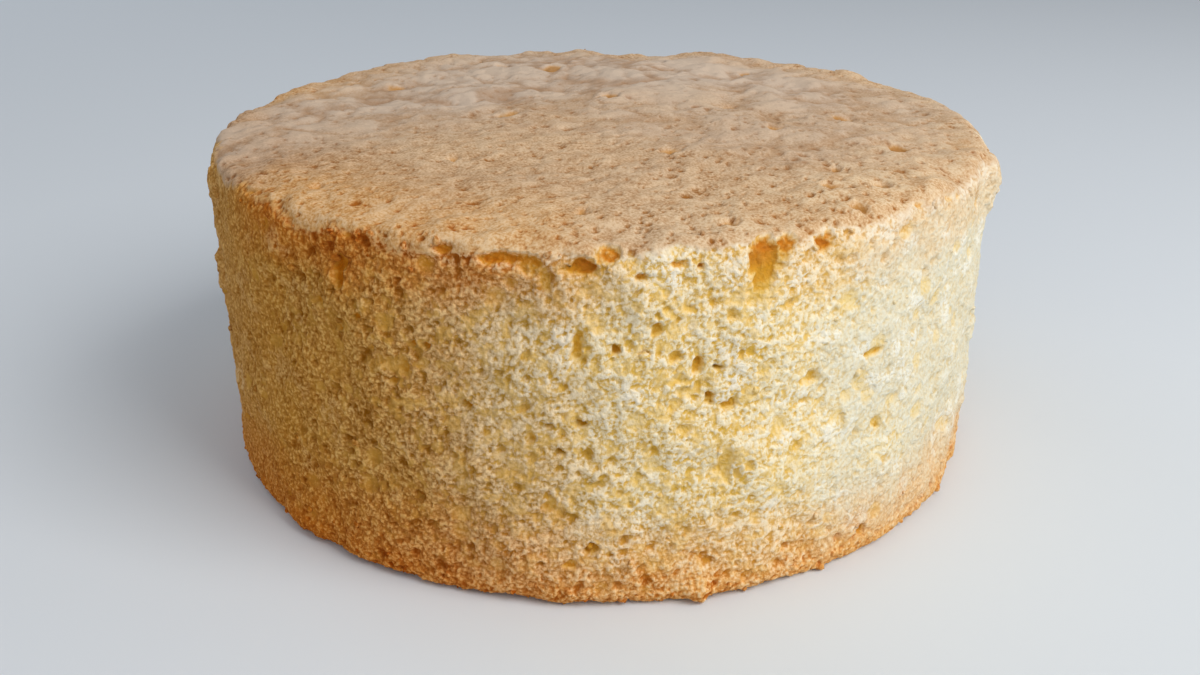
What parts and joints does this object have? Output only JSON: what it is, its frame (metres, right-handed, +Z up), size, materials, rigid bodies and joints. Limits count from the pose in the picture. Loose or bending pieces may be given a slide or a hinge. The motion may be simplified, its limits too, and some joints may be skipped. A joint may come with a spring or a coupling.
{
  "type": "sponge cake",
  "caption": "Tall round plain sponge cake, uncut and undecorated, with a wrinkled tan crust on top, open golden crumb on the wall and a browned foot.",
  "frame": {"origin": "middle of the cake's bounding box, on the face it rests on", "axes": "+Z up through the crown, -Y towards the side that the picture shows, +X to the right of it"},
  "size_m": [0.1998, 0.1986, 0.0868],
  "materials": {
    "side_crumb": "open, matt golden crumb",
    "top_crust": "matt, finely pitted tan crust",
    "base_crust": "matt, browned crust"
  },
  "bodies": {
    "root": {"sponge_cake": "side_crumb"}
  },
  "joints": []
}
